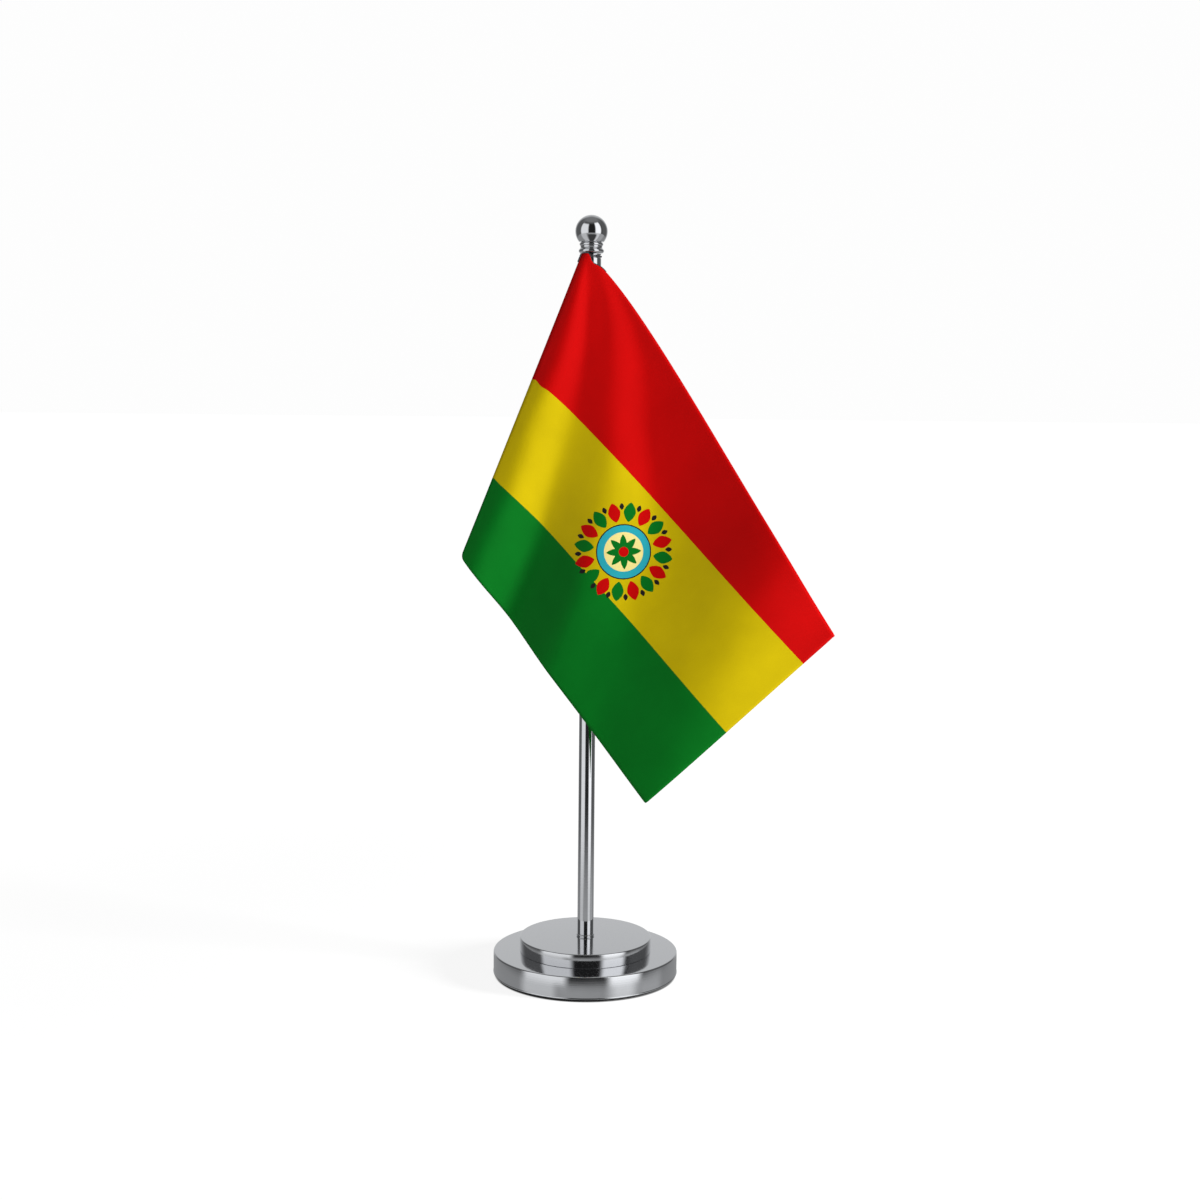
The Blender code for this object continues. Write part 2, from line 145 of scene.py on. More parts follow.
def band(tree, value, low, high, soft):
    """1 where value lies between low and high, with soft edges."""
    risen = ramp(tree, value, low - soft, low + soft)
    fallen = ramp(tree, value, high - soft, high + soft)
    return maths(tree, "MULTIPLY", risen, maths(tree, "SUBTRACT", 1.0, fallen))


def mix_float(tree, factor, first, second):
    return node(tree, "ShaderNodeMix", {0: factor, 2: first, 3: second}, data_type="FLOAT").outputs[0]


def mix_colour(tree, factor, first, second, blend="MIX"):
    """Mixes colours, each of them a socket or three numbers."""
    ends = [end if isinstance(end, bpy.types.NodeSocket) else (*end, 1.0) for end in (first, second)]
    made = node(tree, "ShaderNodeMix", {0: factor, 6: ends[0], 7: ends[1]}, data_type="RGBA", blend_type=blend)
    return made.outputs[2]


def grey(tree, level):
    return node(tree, "ShaderNodeCombineColor", {0: level, 1: level, 2: level}).outputs[0]


# --------------------------------------------------------------------------------------------------
# Studio and floor. Angles are in degrees: side from straight in front, right positive, and height.

WHITE = (1.0, 1.0, 1.0, 1.0)
SURROUND = (0.985, 0.985, 0.985, 1.0)
MIRRORED_TINT = (0.97, 0.985, 1.0, 1.0)
SOFT_LIGHT = 0.22

# Each soft box: left, right, lower and upper edge, and brightness.
SOFT_BOXES = ((-80.0, -23.0, -24.0, 46.0, 1.05), (30.0, 72.0, -24.0, 54.0, 1.45))
BOX_EDGE_SIDE, BOX_EDGE_HEIGHT = 6.0, 7.0
GAP_LEVEL, SIDE_LEVEL, BACK_LEVEL, OVERHEAD_LEVEL = 0.02, 0.13, 0.66, 0.24

# Each pale patch of the table: from, to, softness and brightness.
TABLE_PATCHES = ((-84.0, -36.0, 8.0, 0.68), (-34.0, 24.0, 10.0, 0.40), (32.0, 66.0, 11.0, 0.86),
                 (72.0, 108.0, 8.0, 0.48))
TABLE_LEVEL, OWN_LEVEL = 0.33, 0.06

FLOOR_SIZE, FLOOR_GREY = 20.0, 0.22
GLOW_FROM, GLOW_TO = 0.15, 0.7              # distances from the stand
GLOW_NEAR, GLOW_FAR = 0.865, 0.965          # how bright the floor glows by itself at those; the dimmer glow near the stand is painted shade
SHADE_START, SHADE_END = 1.4 * MM, 0.2 * MM     # under the rim of the base the glow stops, a painted contact shadow


def table_shine(tree, side, height):
    """How bright the table looks in the metal: soft patches, and the dark stand itself in the middle."""
    level = TABLE_LEVEL
    for start, end, soft, bright in TABLE_PATCHES:
        level = mix_float(tree, band(tree, side, start, end, soft), level, bright)
    steep = ramp(tree, height, -28.0, -20.5, 1.0, 0.0)
    own = maths(tree, "MULTIPLY", band(tree, side, -30.0, 42.0, 9.0), steep)
    return mix_float(tree, own, level, OWN_LEVEL)


def surroundings(tree):
    """What the metal mirrors: two soft boxes, a dark gap between them, a pale back and a grey table."""
    way = node(tree, "ShaderNodeTexCoord").outputs["Generated"]
    x, y, z = node(tree, "ShaderNodeSeparateXYZ", {0: way}).outputs
    degrees = 180 / math.pi
    side = maths(tree, "MULTIPLY", maths(tree, "ARCTAN2", x, maths(tree, "MULTIPLY", y, -1.0)), degrees)
    height = maths(tree, "MULTIPLY", maths(tree, "ARCSINE", z), degrees)
    away = maths(tree, "ABSOLUTE", side)

    level = ramp(tree, away, 66.0, 92.0, GAP_LEVEL, SIDE_LEVEL)
    level = mix_float(tree, ramp(tree, away, 128.0, 165.0), level, BACK_LEVEL)
    level = mix_float(tree, ramp(tree, height, 40.0, 72.0), level, OVERHEAD_LEVEL)
    for left, right, lower, upper, bright in SOFT_BOXES:
        across = band(tree, side, left, right, BOX_EDGE_SIDE)
        box = maths(tree, "MULTIPLY", across, band(tree, height, lower, upper, BOX_EDGE_HEIGHT))
        level = mix_float(tree, box, level, bright)
    below = ramp(tree, height, -15.9, -12.9, 1.0, 0.0)
    return mix_float(tree, below, level, table_shine(tree, side, height))


def studio():
    """A white surround for the eye, soft light for the cloth, and the surroundings for the metal."""
    world = bpy.data.worlds.new("studio")
    bpy.context.scene.world = world
    world.use_nodes = True
    tree = world.node_tree
    tree.nodes.clear()
    level = surroundings(tree)
    path = node(tree, "ShaderNodeLightPath")
    seen = node(tree, "ShaderNodeBackground", {"Color": SURROUND, "Strength": 1.0})
    mirrored = node(tree, "ShaderNodeBackground", {"Color": MIRRORED_TINT, "Strength": level})
    soft = node(tree, "ShaderNodeBackground", {"Color": WHITE, "Strength": SOFT_LIGHT})
    lit = node(tree, "ShaderNodeMixShader",
               {0: path.outputs["Is Glossy Ray"], 1: soft.outputs[0], 2: mirrored.outputs[0]})
    final = node(tree, "ShaderNodeMixShader",
                 {0: path.outputs["Is Camera Ray"], 1: lit.outputs[0], 2: seen.outputs[0]})
    node(tree, "ShaderNodeOutputWorld", {0: final.outputs[0]})


def lamp(name, place, target, size, power):
    data = bpy.data.lights.new(name, "AREA")
    data.shape = "DISK"
    data.size = size
    data.energy = power
    made = placed(name, data)
    made.location = place
    made.rotation_euler = (Vector(target) - Vector(place)).to_track_quat("-Z", "Y").to_euler()
    made.visible_glossy = False
    made.visible_camera = False


def floor():
    grid = bmesh.new()
    bmesh.ops.create_grid(grid, x_segments=1, y_segments=1, size=FLOOR_SIZE)
    mesh = bpy.data.meshes.new("floor")
    grid.to_mesh(mesh)
    grid.free()
    made = placed("floor", mesh)
    made.visible_glossy = False
    finish = bpy.data.materials.new("pale_floor")
    tree, shader = nodes_of(finish)
    shader.inputs["Base Color"].default_value = (FLOOR_GREY, FLOOR_GREY, FLOOR_GREY, 1.0)
    shader.inputs["Roughness"].default_value = 1.0
    shader.inputs["Specular IOR Level"].default_value = 0.0
    shader.inputs["Emission Color"].default_value = WHITE
    where = node(tree, "ShaderNodeTexCoord").outputs["Object"]
    away = node(tree, "ShaderNodeVectorMath", {0: where}, operation="LENGTH").outputs["Value"]
    # Painted shade: the floor glows dimmer near the stand, and its glow stops under the base's rim as a
    # painted contact shadow.
    pale = ramp(tree, away, GLOW_FROM, GLOW_TO, GLOW_NEAR, GLOW_FAR)
    rim = radius_of("base_cap")
    clear_of_painted_shadow = ramp(tree, away, rim - SHADE_START, rim - SHADE_END)
    tree.links.new(maths(tree, "MULTIPLY", pale, clear_of_painted_shadow), shader.inputs["Emission Strength"])
    mesh.materials.append(finish)


camera()
studio()
floor()
STAND_MIDDLE = Vector((0.02, 0.0, 0.17))
lamp("key", (0.98, -0.34, 0.36), STAND_MIDDLE, 0.30, 20.0)
lamp("fill", (-0.2, -1.1, 0.4), STAND_MIDDLE, 0.6, 1.5)
bpy.context.scene.view_settings.view_transform = "Standard"
bpy.context.scene.view_settings.look = "None"

# --------------------------------------------------------------------------------------------------
# Finishes of the hard pieces


def speckle(tree, where, scale, detail=3.0):
    """Noise from 0 to 1 over a piece."""
    return node(tree, "ShaderNodeTexNoise", {"Vector": where, "Scale": scale, "Detail": detail}).outputs[0]


def steel(name, colour, rough_low, rough_high, lines, depth):
    """Polished or satin steel with turning marks: lines per metre run round the axis."""
    finish = bpy.data.materials.new(name)
    tree, shader = nodes_of(finish)
    where = node(tree, "ShaderNodeTexCoord").outputs["Object"]
    x, y, z = node(tree, "ShaderNodeSeparateXYZ", {0: where}).outputs
    ring = node(tree, "ShaderNodeCombineXYZ", {0: reach_from_middle(tree, x, y), 1: z, 2: 0.0}).outputs[0]
    marks = speckle(tree, ring, lines, 2.0)
    smudge = speckle(tree, where, 55.0, 4.0)
    tint = ramp(tree, marks, 0.3, 0.7, 0.96, 1.0, "LINEAR")
    rough = ramp(tree, smudge, 0.35, 0.7, rough_low, rough_high, "LINEAR")
    tree.links.new(mix_colour(tree, 1.0, colour, grey(tree, tint), "MULTIPLY"), shader.inputs["Base Color"])
    tree.links.new(rough, shader.inputs["Roughness"])
    shader.inputs["Metallic"].default_value = 1.0
    bump = node(tree, "ShaderNodeBump", {"Height": marks, "Strength": 1.0, "Distance": depth})
    tree.links.new(bump.outputs[0], shader.inputs["Normal"])
    return finish


def plain(name, colour, rough, grain, scale, metallic=0.0, spread=0.15):
    """A matte or metal finish with mottled colour and a fine grain."""
    finish = bpy.data.materials.new(name)
    tree, shader = nodes_of(finish)
    where = node(tree, "ShaderNodeTexCoord").outputs["Object"]
    mottle = speckle(tree, where, scale / 6, 4.0)
    dark = [part * (1 - spread) for part in colour]
    pale = [min(1.0, part * (1 + spread)) for part in colour]
    tree.links.new(mix_colour(tree, mottle, dark, pale), shader.inputs["Base Color"])
    shader.inputs["Roughness"].default_value = rough
    shader.inputs["Metallic"].default_value = metallic
    fine = speckle(tree, where, scale)
    bump = node(tree, "ShaderNodeBump", {"Height": fine, "Strength": 0.6, "Distance": grain})
    tree.links.new(bump.outputs[0], shader.inputs["Normal"])
    return finish


STEEL = (0.66, 0.665, 0.68)
BRUSHED = steel("satin_steel", STEEL, 0.07, 0.13, 2600.0, 0.003 * MM)
POLISHED = steel("polished_steel", STEEL, 0.05, 0.09, 1500.0, 0.001 * MM)
ZINC = plain("zinc_plate", (0.62, 0.63, 0.66), 0.32, 0.01 * MM, 2500.0, 1.0)
IRON = plain("cast_iron", (0.07, 0.07, 0.075), 0.7, 0.08 * MM, 1400.0, 0.7, 0.3)
BRASS = plain("machined_brass", (0.72, 0.53, 0.22), 0.3, 0.01 * MM, 2000.0, 1.0)
FOAM = plain("pad_foam", (0.018, 0.018, 0.02), 0.92, 0.15 * MM, 2200.0, 0.0, 0.4)
CORD = plain("dark_cord", (0.035, 0.035, 0.04), 0.75, 0.03 * MM, 6000.0, 0.0, 0.4)

# --------------------------------------------------------------------------------------------------
# Shaping


def finished(name, shape, finish, body, slot, *stands_for, sharp=35.0):
    """Makes the mesh an object, shades it, gives it its finish and sets it on its body."""
    mesh = bpy.data.meshes.new(name)
    shape.to_mesh(mesh)
    shape.free()
    mesh.shade_smooth()
    mesh.set_sharp_from_angle(angle=math.radians(sharp))
    mesh.materials.append(finish)
    made = placed(name, mesh)
    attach(made, body)
    if stands_for:
        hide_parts(*stands_for)
    return made


def arc(centre, radius, start, end, steps=8):
    """Points (r, z) on an arc; angles in degrees, 0 points outwards and 90 up."""
    angles = [math.radians(start + (end - start) * i / steps) for i in range(steps + 1)]
    return [(centre[0] + radius * math.cos(a), centre[1] + radius * math.sin(a)) for a in angles]


def spun(outline, steps):
    """Spins an outline that is closed, or that starts and ends on the axis, round Z."""
    shape = bmesh.new()
    points = [shape.verts.new((r, 0.0, z)) for r, z in outline]
    on_axis = outline[0][0] < MERGE and outline[-1][0] < MERGE
    pairs = list(zip(points, points[1:]))
    if not on_axis:
        pairs.append((points[-1], points[0]))
    for first, second in pairs:
        shape.edges.new((first, second))
    bmesh.ops.spin(shape, geom=shape.verts[:] + shape.edges[:], cent=(0, 0, 0), axis=(0, 0, 1),
                   angle=math.tau, steps=steps, use_merge=True, use_duplicate=False)
    bmesh.ops.remove_doubles(shape, verts=shape.verts[:], dist=MERGE)
    bmesh.ops.recalc_face_normals(shape, faces=shape.faces[:])
    return shape


# --------------------------------------------------------------------------------------------------
# Base


def base_shell():
    """The wide lower shell: rounded shoulder, rolled lower edge, and its wall from below."""
    radius, top, rim = radius_of("base_cap"), top_of("base_cap"), foot_of("base_cap")
    shoulder, bead, proud = 0.7 * MM, 0.40 * MM, 0.14 * MM
    side = radius - proud
    bead_top = math.degrees(math.acos((bead - proud) / bead))
    outline = [(SCREW_HOLE, top), *arc((side - shoulder, top - shoulder), shoulder, 90, 0),
               *arc((radius - bead, rim + bead), bead, bead_top, -90, 10), (side - SHELL, rim),
               (side - SHELL, top - SHELL), (SCREW_HOLE, top - SHELL)]
    finished("base_shell", spun(outline, 256), BRUSHED, "stand", "brushed", "base_cap")


def step_shell():
    """The smaller upper shell, which stands on the lower one."""
    radius, top, foot = radius_of("step_cap"), top_of("step_cap"), foot_of("step_cap") - SEAT + TOUCH
    shoulder, lip = 0.6 * MM, 0.25 * MM
    outline = [(SCREW_HOLE, top), *arc((radius - shoulder, top - shoulder), shoulder, 90, 0),
               *arc((radius - lip, foot + lip), lip, 0, -90, 5), (radius - SHELL, foot),
               (radius - SHELL, top - SHELL), (SCREW_HOLE, top - SHELL)]
    finished("step_shell", spun(outline, 224), BRUSHED, "stand", "brushed", "step_cap")


def pad():
    radius, top = radius_of("base_pad"), top_of("base_pad")
    edge = 0.15 * MM
    outline = [(0, top), (radius - edge, top), *arc((radius - edge, top - edge), edge, 90, 0, 4)[1:],
               *arc((radius - edge, edge), edge, 0, -90, 4), (0, 0)]
    finished("base_pad_foam", spun(outline, 160), FOAM, "stand", "pad", "base_pad")


# --------------------------------------------------------------------------------------------------
# Pole and finial


def foot_ring():
    """The fine ring round the foot of the pole, down to the shell it lies on."""
    ring, height = radius_of("foot_ring"), middle_of("foot_ring")
    bead = (top_of("foot_ring") - foot_of("foot_ring")) / 2
    outline = [(SCREW_HOLE, height + bead), (ring - bead, height + bead),
               *arc((ring - bead, height), bead, 80, -80), (ring - bead, height - bead - SEAT),
               (SCREW_HOLE, height - bead - SEAT)]
    finished("pole_foot_ring", spun(outline, 96), POLISHED, "stand", "polished", "foot_ring")


def pole():
    tube, foot, top = radius_of("pole_tube"), foot_of("pole_tube") - SEAT + TOUCH, top_of("pole_tube")
    wall, bands = 0.6 * MM, 6
    levels = [top - POLE_EDGE - (top - foot - 2 * POLE_EDGE) * i / bands for i in range(bands + 1)]
    outline = [(tube - wall, top), (tube - POLE_EDGE, top), *[(tube, z) for z in levels],
               (tube - POLE_EDGE, foot), (tube - wall, foot)]
    finished("pole", spun(outline, 128), POLISHED, "stand", "polished", "pole_tube")


def pole_socket():
    """The turned head of the pole: a groove for the loop, a hole for the stud and a spigot in the tube."""
    head, top, foot = radius_of("pole_head"), top_of("pole_head"), foot_of("pole_head")
    tube_top, hole_foot = top_of("pole_tube"), foot_of("finial_stud") - SEAT
    cord_height, groove, spigot = middle_of("hanging_loop"), 0.7 * MM, 2.65 * MM
    outline = [(0, hole_foot), (STUD_HOLE, hole_foot), (STUD_HOLE, top), (head - POLE_EDGE, top),
               (head, top - POLE_EDGE), (head, cord_height + groove),
               *arc((head, cord_height), groove, 90, 270, 10), (head, cord_height - groove),
               (head, tube_top + POLE_EDGE), (head - POLE_EDGE, tube_top + TOUCH),
               (spigot, tube_top + TOUCH), (spigot, foot), (0, foot)]
    finished("pole_socket", spun(outline, 128), POLISHED, "stand", "polished", "pole_head")


def finial_rings():
    """The collar under the ball: a wide ring, a fine neck and a smaller ring."""
    lower, foot, top = radius_of("finial_collar"), foot_of("finial_collar"), top_of("finial_collar")
    upper, lower_half, upper_half = 4.97 * MM, 0.9 * MM, 0.75 * MM
    neck, neck_half, neck_height = 4.8 * MM, 0.3 * MM, foot + 2 * lower_half + 0.5 * MM
    flat_top, flat_foot, seat = 4.3 * MM, 3.9 * MM, top + SEAT - TOUCH
    outline = [(STUD_HOLE, seat), (flat_top, seat),
               *arc((upper - upper_half, top - upper_half), upper_half, 80, -60, 12),
               *arc((neck, neck_height), neck_half, 150, 210, 4),
               *arc((lower - lower_half, foot + lower_half), lower_half, 60, -80, 12),
               (flat_foot, foot), (STUD_HOLE, foot)]
    finished("finial_rings", spun(outline, 128), POLISHED, "collar", "polished", "finial_collar")


def finial_globe():
    """The ball, cut flat below and bored for the stud."""
    size, top, foot = radius_of("finial_ball"), top_of("finial_ball"), foot_of("finial_ball")
    centre, hole_top = top - size, top_of("finial_stud") + SEAT
    cut = -math.degrees(math.asin((centre - foot) / size))
    outline = [(0, top), *arc((0, centre), size, 89, cut, 48), (STUD_HOLE, foot), (STUD_HOLE, hole_top),
               (0, hole_top)]
    finished("finial_globe", spun(outline, 128), POLISHED, "finial", "polished", "finial_ball")


def finial_thread():
    """The threaded stud: one V groove wound up a rod."""
    rod, foot, top = radius_of("finial_stud"), foot_of("finial_stud"), top_of("finial_stud")
    pitch, depth, slices, rows_a_turn, run_out = 0.7 * MM, 0.38 * MM, 24, 8, 6
    levels = int((top - foot) / pitch) * rows_a_turn
    shape = bmesh.new()
    rings = []
    for level in range(levels + 1):
        height = foot + (top - foot) * level / levels
        fade = min(1.0, level / run_out, (levels - level) / run_out)
        ring = []
        for piece in range(slices):
            turn = math.tau * piece / slices
            phase = ((height - foot) / pitch - piece / slices) % 1.0
            reach = rod - depth * fade * abs(2 * phase - 1)
            ring.append(shape.verts.new((reach * math.cos(turn), reach * math.sin(turn), height)))
        for first, second in zip(ring, ring[1:] + ring[:1]):
            shape.edges.new((first, second))
        rings.append(ring)
    for below, above in zip(rings, rings[1:]):
        edges = [shape.edges.get((a, b)) for r in (below, above) for a, b in zip(r, r[1:] + r[:1])]
        bmesh.ops.bridge_loops(shape, edges=edges)
    bmesh.ops.holes_fill(shape, edges=[e for e in shape.edges if len(e.link_faces) == 1], sides=0)
    bmesh.ops.recalc_face_normals(shape, faces=shape.faces[:])
    finished("finial_thread", shape, ZINC, "finial", "zinc", "finial_stud", sharp=60.0)


base_shell()
step_shell()
pad()
foot_ring()
pole()
pole_socket()
finial_rings()
finial_globe()
finial_thread()
for solid, finish in (("base_weight", IRON), ("step_weight", IRON), ("base_screw", ZINC),
                      ("base_washer", ZINC), ("lock_washer", ZINC), ("pole_plug", BRASS)):
    materials = frame["nodes"][solid].data.materials
    materials.clear()
    materials.append(finish)

# --------------------------------------------------------------------------------------------------
# How the flag hangs, from its corner. Angles are from straight down, towards the fly positive.

HOIST, FLY = 0.140, 0.210       # the cloth as cut
STRIPE = HOIST / 3
CORNER = Vector(JOINTS["flag_swing"]["pos_m"])
HOIST_ANGLE, HOIST_REACH = -22.15, 0.974
FOLD_ANGLE, FOLD_REACH = 33.83, 0.9055
TOE_ANGLE, TOE_REACH = 6.73, 0.912
STRIPES_ON_HOIST = (0.0, 0.412, 0.7365, 1.0)
STRIPES_ON_FLY = (0.0, 0.1655, 0.5735, 1.0)
TOP_BOW, BOW_RISE, BOW_FALL = 0.0160, 0.53, 1.74
HOIST_BOW, HOIST_BOW_FALL, HOIST_BOW_DEPTH = 1.8 * MM, 1.3, 16
STRIPE_BOW = 1.15 * MM          # of the line between the two lower stripes
PINCH, PINCH_AT, PINCH_WIDTH = 1.15 * MM, 5.4 * MM, 2.1 * MM    # where the cord draws the top edge in
TAB, TAB_AT, TAB_WIDTH = 0.9 * MM, 1.5 * MM, 1.4 * MM           # and the blunt end above it
HEEL_ROUND, TOE_ROUND = 3.0 * MM, 0.8 * MM                      # the two lower corners
LEAN = 0.045                    # forward, per metre of drop

# Creases and crests that run down from the corner, in mm from it: drop, side, and how far forward.
EDGE_LINE = ((0, -1.0, 0.0), (30, -14.5, 0.0), (70, -31.5, 0.0), (125, -55.0, 0.0), (220, -95.0, 0.0))
HOIST_CREST = ((0, 0.0, 0.0), (20, -5.2, 0.9), (45, -12.4, 1.6), (70, -22.7, 2.0), (95, -31.0, 2.2),
               (121, -42.5, 2.6), (150, -54.0, 2.6), (220, -82.0, 2.4))
HOIST_VALLEY = ((0, 1.0, 0.0), (20, 1.8, -1.4), (45, 0.5, -2.4), (70, -4.0, -2.8), (96, -12.0, -4.2),
                (121, -18.5, -6.6), (146, -28.0, -7.4), (220, -60.0, -6.0))
MIDDLE_CREST = ((0, 2.0, 0.0), (20, 8.0, -1.8), (45, 9.5, -2.3), (70, 9.0, -1.8), (96, 9.0, -0.7),
                (121, 4.5, 0.6), (146, -2.0, 2.2), (220, -30.0, 2.4))
MIDDLE_VALLEY = ((0, 4.0, 0.0), (20, 17.0, -3.8), (45, 26.0, -5.8), (70, 28.0, -5.8), (96, 31.0, -5.2),
                 (121, 31.0, -3.4), (146, 22.0, -0.4), (172, 12.0, 1.4), (220, -4.0, 2.4))
FLY_CREST = ((0, 10.0, 0.0), (20, 40.0, -3.0), (70, 88.0, 0.0), (96, 94.0, 4.0), (121, 86.0, 8.0),
             (146, 71.0, 8.0), (172, 56.0, 7.6), (197, 44.0, 7.0), (222, 34.0, 6.4))
FLY_LINE = ((0, 20.0, 0.0), (70, 140.0, -4.0), (121, 130.0, 0.0), (146, 118.0, 1.5), (172, 106.0, 0.0),
            (197, 90.0, 0.0), (222, 70.0, 0.0))
CREASES = (EDGE_LINE, HOIST_CREST, HOIST_VALLEY, MIDDLE_CREST, MIDDLE_VALLEY, FLY_CREST, FLY_LINE)

FLAP_AT_HOIST, FLAP_AT_FLY = 1.2 * MM, 28.2 * MM    # width of cloth that turns over the top edge
TURN_AT_HOIST, TURN_AT_FLY = 0.45 * MM, 1.1 * MM    # radius of that turn
TURN_OPENS = 6                  # the turn has its full radius a sixth of the way along
TURN_FADE = 8                   # how soon the front is clear of the turn, as a power
FLAP_OPENS, FLAP_OPENS_IN = 2.4 * MM, 16 * MM       # how far the flap stands off, and over what width
FLAP_WAVE, FLAP_WAVES, FLAP_WAVES_IN = 0.8 * MM, 9.0, 10 * MM


def ray(angle, reach):
    turn = math.radians(angle)
    return Vector((reach * math.sin(turn), 0.0, -reach * math.cos(turn)))


HOIST_END = ray(HOIST_ANGLE, HOIST_REACH * HOIST)
FOLD_END = ray(FOLD_ANGLE, FOLD_REACH * FLY)
TOE_END = ray(TOE_ANGLE, TOE_REACH * math.hypot(HOIST, FLY))
OUTWARDS = Vector((math.cos(math.radians(FOLD_ANGLE)), 0.0, math.sin(math.radians(FOLD_ANGLE))))


def between(values, stripe):
    index = min(int(stripe), len(values) - 2)
    return values[index] + (values[index + 1] - values[index]) * (stripe - index)


def smooth(value):
    value = min(1.0, max(0.0, value))
    return value * value * (3 - 2 * value)


def bell(value, middle, width):
    return math.exp(-((value - middle) / width) ** 2)


def on_line(line, drop):
    """Side and forward rise of a crease at this drop, on a smooth curve through its points."""
    last = len(line) - 2
    index = next((i for i in range(last) if drop <= line[i + 1][0]), last)
    before, after = line[max(0, index - 1)], line[min(last + 1, index + 2)]
    start, end = line[index], line[index + 1]
    span = end[0] - start[0]
    share = min(1.0, max(0.0, (drop - start[0]) / span))
    square, cube = share ** 2, share ** 3
    result = []
    for value in (1, 2):
        leave = (end[value] - before[value]) / (end[0] - before[0])
        arrive = (after[value] - start[value]) / (after[0] - start[0])
        result.append((2 * cube - 3 * square + 1) * start[value] + (cube - 2 * square + share) * span * leave
                      + (3 * square - 2 * cube) * end[value] + (cube - square) * span * arrive)
    return result


def forward(side, drop):
    """How far the cloth stands in front of its corner."""
    places = [on_line(line, drop / MM) for line in CREASES]
    for (start, low), (end, high) in zip(places, places[1:]):
        if side / MM <= end:
            return (low + (high - low) * smooth((side / MM - start) / (end - start))) * MM + LEAN * drop
    return places[-1][1] * MM + LEAN * drop


def rounded(along, stripe):
    """Rounds the two lower corners of the flag."""
    for at_fly, radius in ((False, HEEL_ROUND), (True, TOE_ROUND)):
        across = ((1 - along) if at_fly else along) * FLY
        up = (3 - stripe) * STRIPE
        if across < radius and up < radius:
            a, b = radius - across, radius - up
            scale = max(a, b) / math.hypot(a, b)
            across, up = radius - a * scale, radius - b * scale
            return (1 - across / FLY if at_fly else across / FLY), 3 - up / STRIPE
    return along, stripe


def spot(along, stripe):
    """Where a point of the front shows: along 0 hoist to 1 fly, stripe 0 fold to 3 bottom; y stays 0."""
    along, stripe = rounded(along, stripe)
    down = stripe / 3
    on_hoist = HOIST_END * between(STRIPES_ON_HOIST, stripe)
    on_fly = FOLD_END.lerp(TOE_END, between(STRIPES_ON_FLY, stripe))
    shown = on_hoist.lerp(on_fly, along)
    reach = along * FOLD_REACH * FLY
    bow = TOP_BOW * along ** BOW_RISE * (1 - along) ** BOW_FALL
    bow += TAB * bell(reach, TAB_AT, TAB_WIDTH) - PINCH * bell(reach, PINCH_AT, PINCH_WIDTH)
    stripe_bow = STRIPE_BOW * 4 * along * (1 - along) * smooth(1 - abs(stripe - 2))
    shown += OUTWARDS * (bow * (1 - down) ** 2 + stripe_bow)
    shown.x -= HOIST_BOW * (1 - down) ** HOIST_BOW_FALL * (1 - along) ** HOIST_BOW_DEPTH
    return shown


def flap(along):
    return FLAP_AT_HOIST + (FLAP_AT_FLY - FLAP_AT_HOIST) * along


def turn_radius(along):
    return TURN_AT_HOIST + (TURN_AT_FLY - TURN_AT_HOIST) * min(1.0, along * TURN_OPENS)


TURN_ROWS, FLAP_ROWS, FRONT_ROWS, COLUMNS = 8, 22, 104, 130
ROWS = TURN_ROWS + FLAP_ROWS + FRONT_ROWS
FOLD_ROW = FLAP_ROWS + TURN_ROWS // 2


def row_place(along, row):
    """Where a row lies: how far behind the fold's ridge, less than 0 in front of it, or its stripe."""
    half_turn = turn_radius(along) * math.pi / 2
    if row <= FLAP_ROWS:
        return half_turn + (flap(along) - half_turn) * (1 - row / FLAP_ROWS), None
    if row <= FLAP_ROWS + TURN_ROWS:
        return half_turn * (1 - 2 * (row - FLAP_ROWS) / TURN_ROWS), None
    return None, 3 * (row - FLAP_ROWS - TURN_ROWS) / FRONT_ROWS


def cloth(along, row):
    """The middle of the cloth; rows run from the flap's free edge, over the fold and down the front."""
    behind, stripe = row_place(along, row)
    radius = turn_radius(along)
    depth = 0.0
    if stripe is not None:
        place = spot(along, stripe) - OUTWARDS * radius * max(0.0, 1 - stripe / 3) ** TURN_FADE
    elif behind > radius * math.pi / 2:
        rest = behind - radius * math.pi / 2
        place = spot(along, 0.0) - OUTWARDS * (radius + rest)
        wave = FLAP_WAVE * math.sin(along * FLAP_WAVES) * smooth(rest / FLAP_WAVES_IN)
        depth = 2 * radius + (FLAP_OPENS + wave) * smooth(rest / FLAP_OPENS_IN) * min(1.0, along * 3)
    else:
        angle = behind / radius
        place = spot(along, 0.0) - OUTWARDS * radius * (1 - math.cos(angle))
        depth = radius * (1 + math.sin(angle))
    return CORNER + place + Vector((0.0, depth - forward(place.x, -place.z), 0.0))


def flat_place(along, row):
    """Where that point is on the cloth as cut, in metres: along the fly and up the hoist."""
    behind, stripe = row_place(along, row)
    hidden = flap(along)
    half_turn = turn_radius(along) * math.pi / 2
    if stripe is None:
        down = hidden - behind
    elif stripe < 1:
        down = hidden + half_turn + (STRIPE - hidden - half_turn) * stripe
    else:
        down = STRIPE * stripe
    return along * FLY, HOIST - down


# --------------------------------------------------------------------------------------------------
# The print on the flag: stripes, a round badge and the weave

BADGE_CENTRE = Vector((16.8, 0.0, -123.6)) * MM     # from the flag's corner
BADGE_UP = math.radians(42.0)                       # from straight up, towards the fly
BADGE_UNIT = 0.95 * MM

RED, YELLOW, GREEN = (0.43, 0.0016, 0.0016), (0.47, 0.355, 0.0016), (0.0016, 0.125, 0.010)
CREAM, TEAL, DARK = (0.70, 0.60, 0.22), (0.02, 0.30, 0.36), (0.012, 0.010, 0.010)

